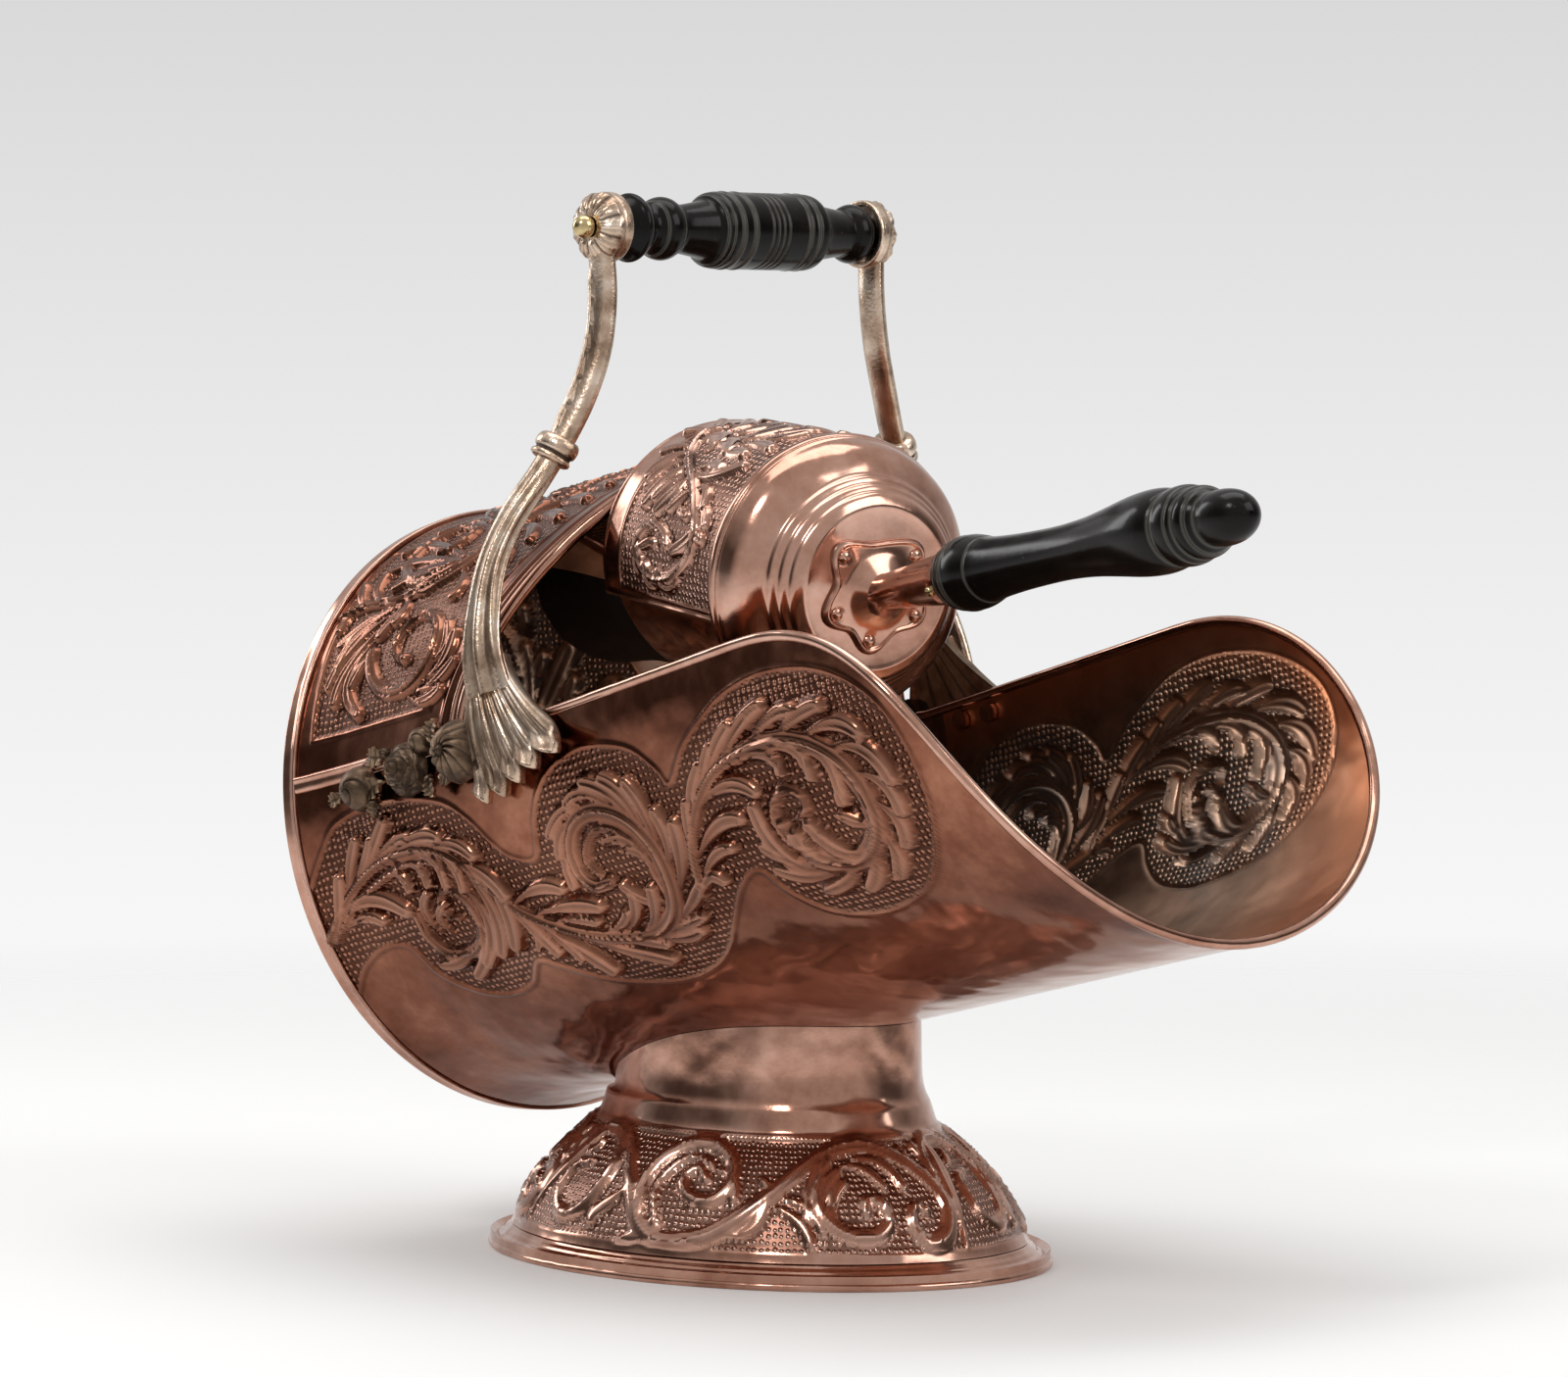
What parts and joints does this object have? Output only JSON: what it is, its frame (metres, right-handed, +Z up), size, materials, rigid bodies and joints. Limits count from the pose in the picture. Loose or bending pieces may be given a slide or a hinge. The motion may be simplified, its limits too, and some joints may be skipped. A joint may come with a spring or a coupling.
{
  "type": "coal scuttle",
  "caption": "Helmet-shaped embossed copper coal scuttle on an oval foot, with a turned carrying grip on cast brackets and a loose matching scoop.",
  "frame": {"origin": "bottom centre of the overall bounding box, at rest on the floor", "axes": "+X towards the pouring lip and the scoop's handle, +Y to the scuttle's left, +Z up"},
  "size_m": [0.6332, 0.3252, 0.5043],
  "materials": {
    "copper": "polished copper sheet, darkened in the relief",
    "cast_bronze": "pale cast bronze, polished on the high parts",
    "brass": "polished brass",
    "iron": "blackened iron sheet, matte",
    "ebonised_wood": "ebonised turned wood, glossy and worn"
  },
  "bodies": {
    "scuttle": {"back_panel": "copper", "back_rim": "copper", "body_shell": "copper", "body_edge_bead": "copper", "hood": "copper", "hood_front_bead": "copper", "foot_band": "copper", "foot_rim": "copper", "seam_strip_right": "copper", "seam_strip_left": "copper", "bracket_rivet_right_1": "copper", "bracket_rivet_right_2": "copper", "bracket_rivet_left_1": "copper", "bracket_rivet_left_2": "copper", "bracket_right": "cast_bronze", "bracket_left": "cast_bronze", "arm_collar_right": "cast_bronze", "arm_collar_left": "cast_bronze", "rose_spray_right": "cast_bronze", "rose_spray_left": "cast_bronze", "dome_nut_right": "brass", "dome_nut_left": "brass", "grip_rod": "iron"},
    "grip": {"grip": "ebonised_wood"},
    "scoop": {"scoop_hood": "copper", "scoop_pan": "copper", "scoop_blade": "iron", "scoop_cap": "copper", "scoop_boss_plate": "copper", "boss_rivet_1": "copper", "boss_rivet_2": "copper", "boss_rivet_3": "copper", "boss_rivet_4": "copper", "boss_rivet_5": "copper", "scoop_ferrule": "copper", "ferrule_screw": "brass", "scoop_tang": "iron", "scoop_handle": "ebonised_wood"}
  },
  "joints": [
    {"name": "grip_spin", "type": "hinge", "parent": "scuttle", "child": "grip", "pos_m": [-0.1204, 0, 0.486], "axis": [0, 1, 0], "continuous": true},
    {"name": "scoop_lift", "type": "slide", "parent": "scuttle", "child": "scoop", "axis": [0.9683, -0.2076, 0.1392], "range_m": [0, 0.45]}
  ]
}
